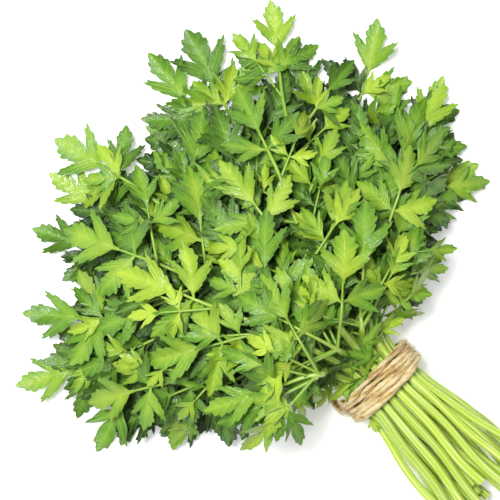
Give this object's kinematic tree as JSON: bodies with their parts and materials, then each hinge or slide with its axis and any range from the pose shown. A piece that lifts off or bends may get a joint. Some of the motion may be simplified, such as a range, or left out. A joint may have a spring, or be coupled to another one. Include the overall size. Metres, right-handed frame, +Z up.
{
  "type": "parsley bunch",
  "caption": "Bunch of flat-leaf parsley lying down, its leafy stems gathered in a twine tie, with lobed leaves fanned out and stacked.",
  "frame": {"origin": "on the surface the bunch lies on, under the middle turn of the twine", "axes": "+X from the tie to the leaf tips, +Y across the bunch, +Z up"},
  "size_m": [0.2669, 0.243, 0.0614],
  "materials": {
    "leaf": "satin",
    "stem": "satin",
    "twine": "matte"
  },
  "bodies": {
    "root": {"twine": "twine", "leafy_stem_01": "leaf", "leafy_stem_02": "leaf", "leafy_stem_03": "leaf", "leafy_stem_04": "leaf", "leafy_stem_05": "leaf", "leafy_stem_06": "leaf", "leafy_stem_07": "leaf", "leafy_stem_08": "leaf", "leafy_stem_09": "leaf", "leafy_stem_10": "leaf", "leafy_stem_11": "leaf", "leafy_stem_12": "leaf", "leafy_stem_13": "leaf", "leafy_stem_14": "leaf", "leafy_stem_15": "leaf", "leafy_stem_16": "leaf", "leafy_stem_17": "leaf", "leafy_stem_18": "leaf", "leafy_stem_19": "leaf", "leafy_stem_20": "leaf", "leafy_stem_21": "leaf", "leafy_stem_22": "leaf", "leafy_stem_23": "leaf", "leafy_stem_24": "leaf", "leafy_stem_25": "leaf", "leafy_stem_26": "leaf", "leafy_stem_27": "leaf", "leafy_stem_28": "leaf", "leafy_stem_29": "leaf", "leafy_stem_30": "leaf", "leafy_stem_31": "leaf", "leafy_stem_32": "leaf", "leafy_stem_33": "leaf", "leafy_stem_34": "leaf"}
  },
  "joints": []
}
